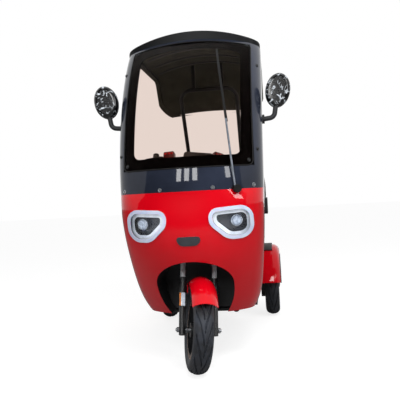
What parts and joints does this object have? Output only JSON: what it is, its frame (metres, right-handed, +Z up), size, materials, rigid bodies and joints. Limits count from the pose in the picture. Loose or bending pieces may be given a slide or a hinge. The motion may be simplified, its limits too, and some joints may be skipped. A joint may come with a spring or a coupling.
{
  "type": "covered electric tricycle",
  "caption": "Covered electric passenger tricycle with a rounded front cowl, raked windscreen, open sides, hinged driver's seat, rear bench and spoked wheels.",
  "frame": {"origin": "on the ground under the centre of the bounding box", "axes": "+Z up, front of the vehicle towards -Y, the vehicle's left towards +X"},
  "size_m": [1.0746, 1.9769, 1.832],
  "materials": {
    "red_gloss": "gloss",
    "band_gloss": "gloss",
    "black_gloss": "gloss",
    "screen_glass": "clear",
    "lamp_ring": "gloss",
    "lamp_bowl": "gloss",
    "lamp_glass": "clear",
    "lamp_eye": "gloss",
    "black_plastic": "matte",
    "deck_rubber": "ribbed",
    "seat_leather": "grained",
    "black_steel": "satin",
    "black_rubber": "matte",
    "chrome": "polished",
    "plain_steel": "brushed",
    "tyre_rubber": "matte",
    "rim_paint": "metallic",
    "cast_alloy": "cast",
    "tail_red": "gloss",
    "mirror_glass": "polished"
  },
  "bodies": {
    "chassis": {"front_cowl": "red_gloss", "rear_tub": "red_gloss", "rear_fenders": "red_gloss", "screen_frame": "band_gloss", "roof": "black_gloss", "windscreen": "screen_glass", "headlamp_rings": "lamp_ring", "headlamp_bowls": "lamp_bowl", "headlamp_lenses": "lamp_glass", "headlamp_projectors": "lamp_eye", "nose_badge": "black_gloss", "wheel_well": "black_plastic", "dash_panel": "black_plastic", "floor_deck": "deck_rubber", "seat_box": "red_gloss", "battery_pack": "black_plastic", "driver_backrest": "seat_leather", "backrest_brackets": "black_steel", "passenger_cushion": "seat_leather", "passenger_backrest": "seat_leather", "armrests": "black_plastic", "roof_hoop": "black_steel", "tub_lid": "red_gloss", "fender_caps": "black_plastic", "fender_edges": "black_rubber", "chassis_rails": "black_steel", "cross_tubes": "black_steel", "head_tube": "black_steel", "rear_axle": "black_steel", "drive_motor": "cast_alloy", "leaf_springs": "black_steel", "tail_lamps": "tail_red", "rear_bumper": "chrome", "wiper_arm": "black_steel", "wiper_blade": "black_rubber", "mirror_stems": "black_plastic", "mirror_heads": "black_plastic", "mirror_glasses": "mirror_glass"},
    "fork": {"steering_stem": "black_steel", "fork_stanchions": "chrome", "fork_legs": "black_steel", "front_axle": "plain_steel", "front_fender": "red_gloss", "handlebar": "chrome", "grips": "black_rubber", "brake_levers": "black_steel", "instrument_pod": "black_plastic"},
    "front_wheel": {"front_tyre": "tyre_rubber", "front_rim": "rim_paint"},
    "rear_left_wheel": {"rear_left_tyre": "tyre_rubber", "rear_left_rim": "rim_paint"},
    "rear_right_wheel": {"rear_right_tyre": "tyre_rubber", "rear_right_rim": "rim_paint"},
    "seat_lid": {"driver_cushion": "seat_leather"}
  },
  "joints": [
    {"name": "steering", "type": "hinge", "parent": "chassis", "child": "fork", "pos_m": [0, -0.74763, 0.20036], "axis": [0, 0.4067, 0.9135], "range_deg": [-44, 12]},
    {"name": "front_wheel_spin", "type": "hinge", "parent": "fork", "child": "front_wheel", "pos_m": [0.00965, -0.77836, 0.21405], "axis": [0.9613, 0.2518, -0.1121], "continuous": true},
    {"name": "rear_left_spin", "type": "hinge", "parent": "chassis", "child": "rear_left_wheel", "pos_m": [0.378, 0.6504, 0.215], "axis": [1, 0, 0], "continuous": true},
    {"name": "rear_right_spin", "type": "hinge", "parent": "chassis", "child": "rear_right_wheel", "pos_m": [-0.378, 0.6504, 0.215], "axis": [1, 0, 0], "continuous": true},
    {"name": "seat_lid", "type": "hinge", "parent": "chassis", "child": "seat_lid", "pos_m": [0, -0.0306, 0.598], "axis": [1, 0, 0], "range_deg": [0, 75]}
  ]
}
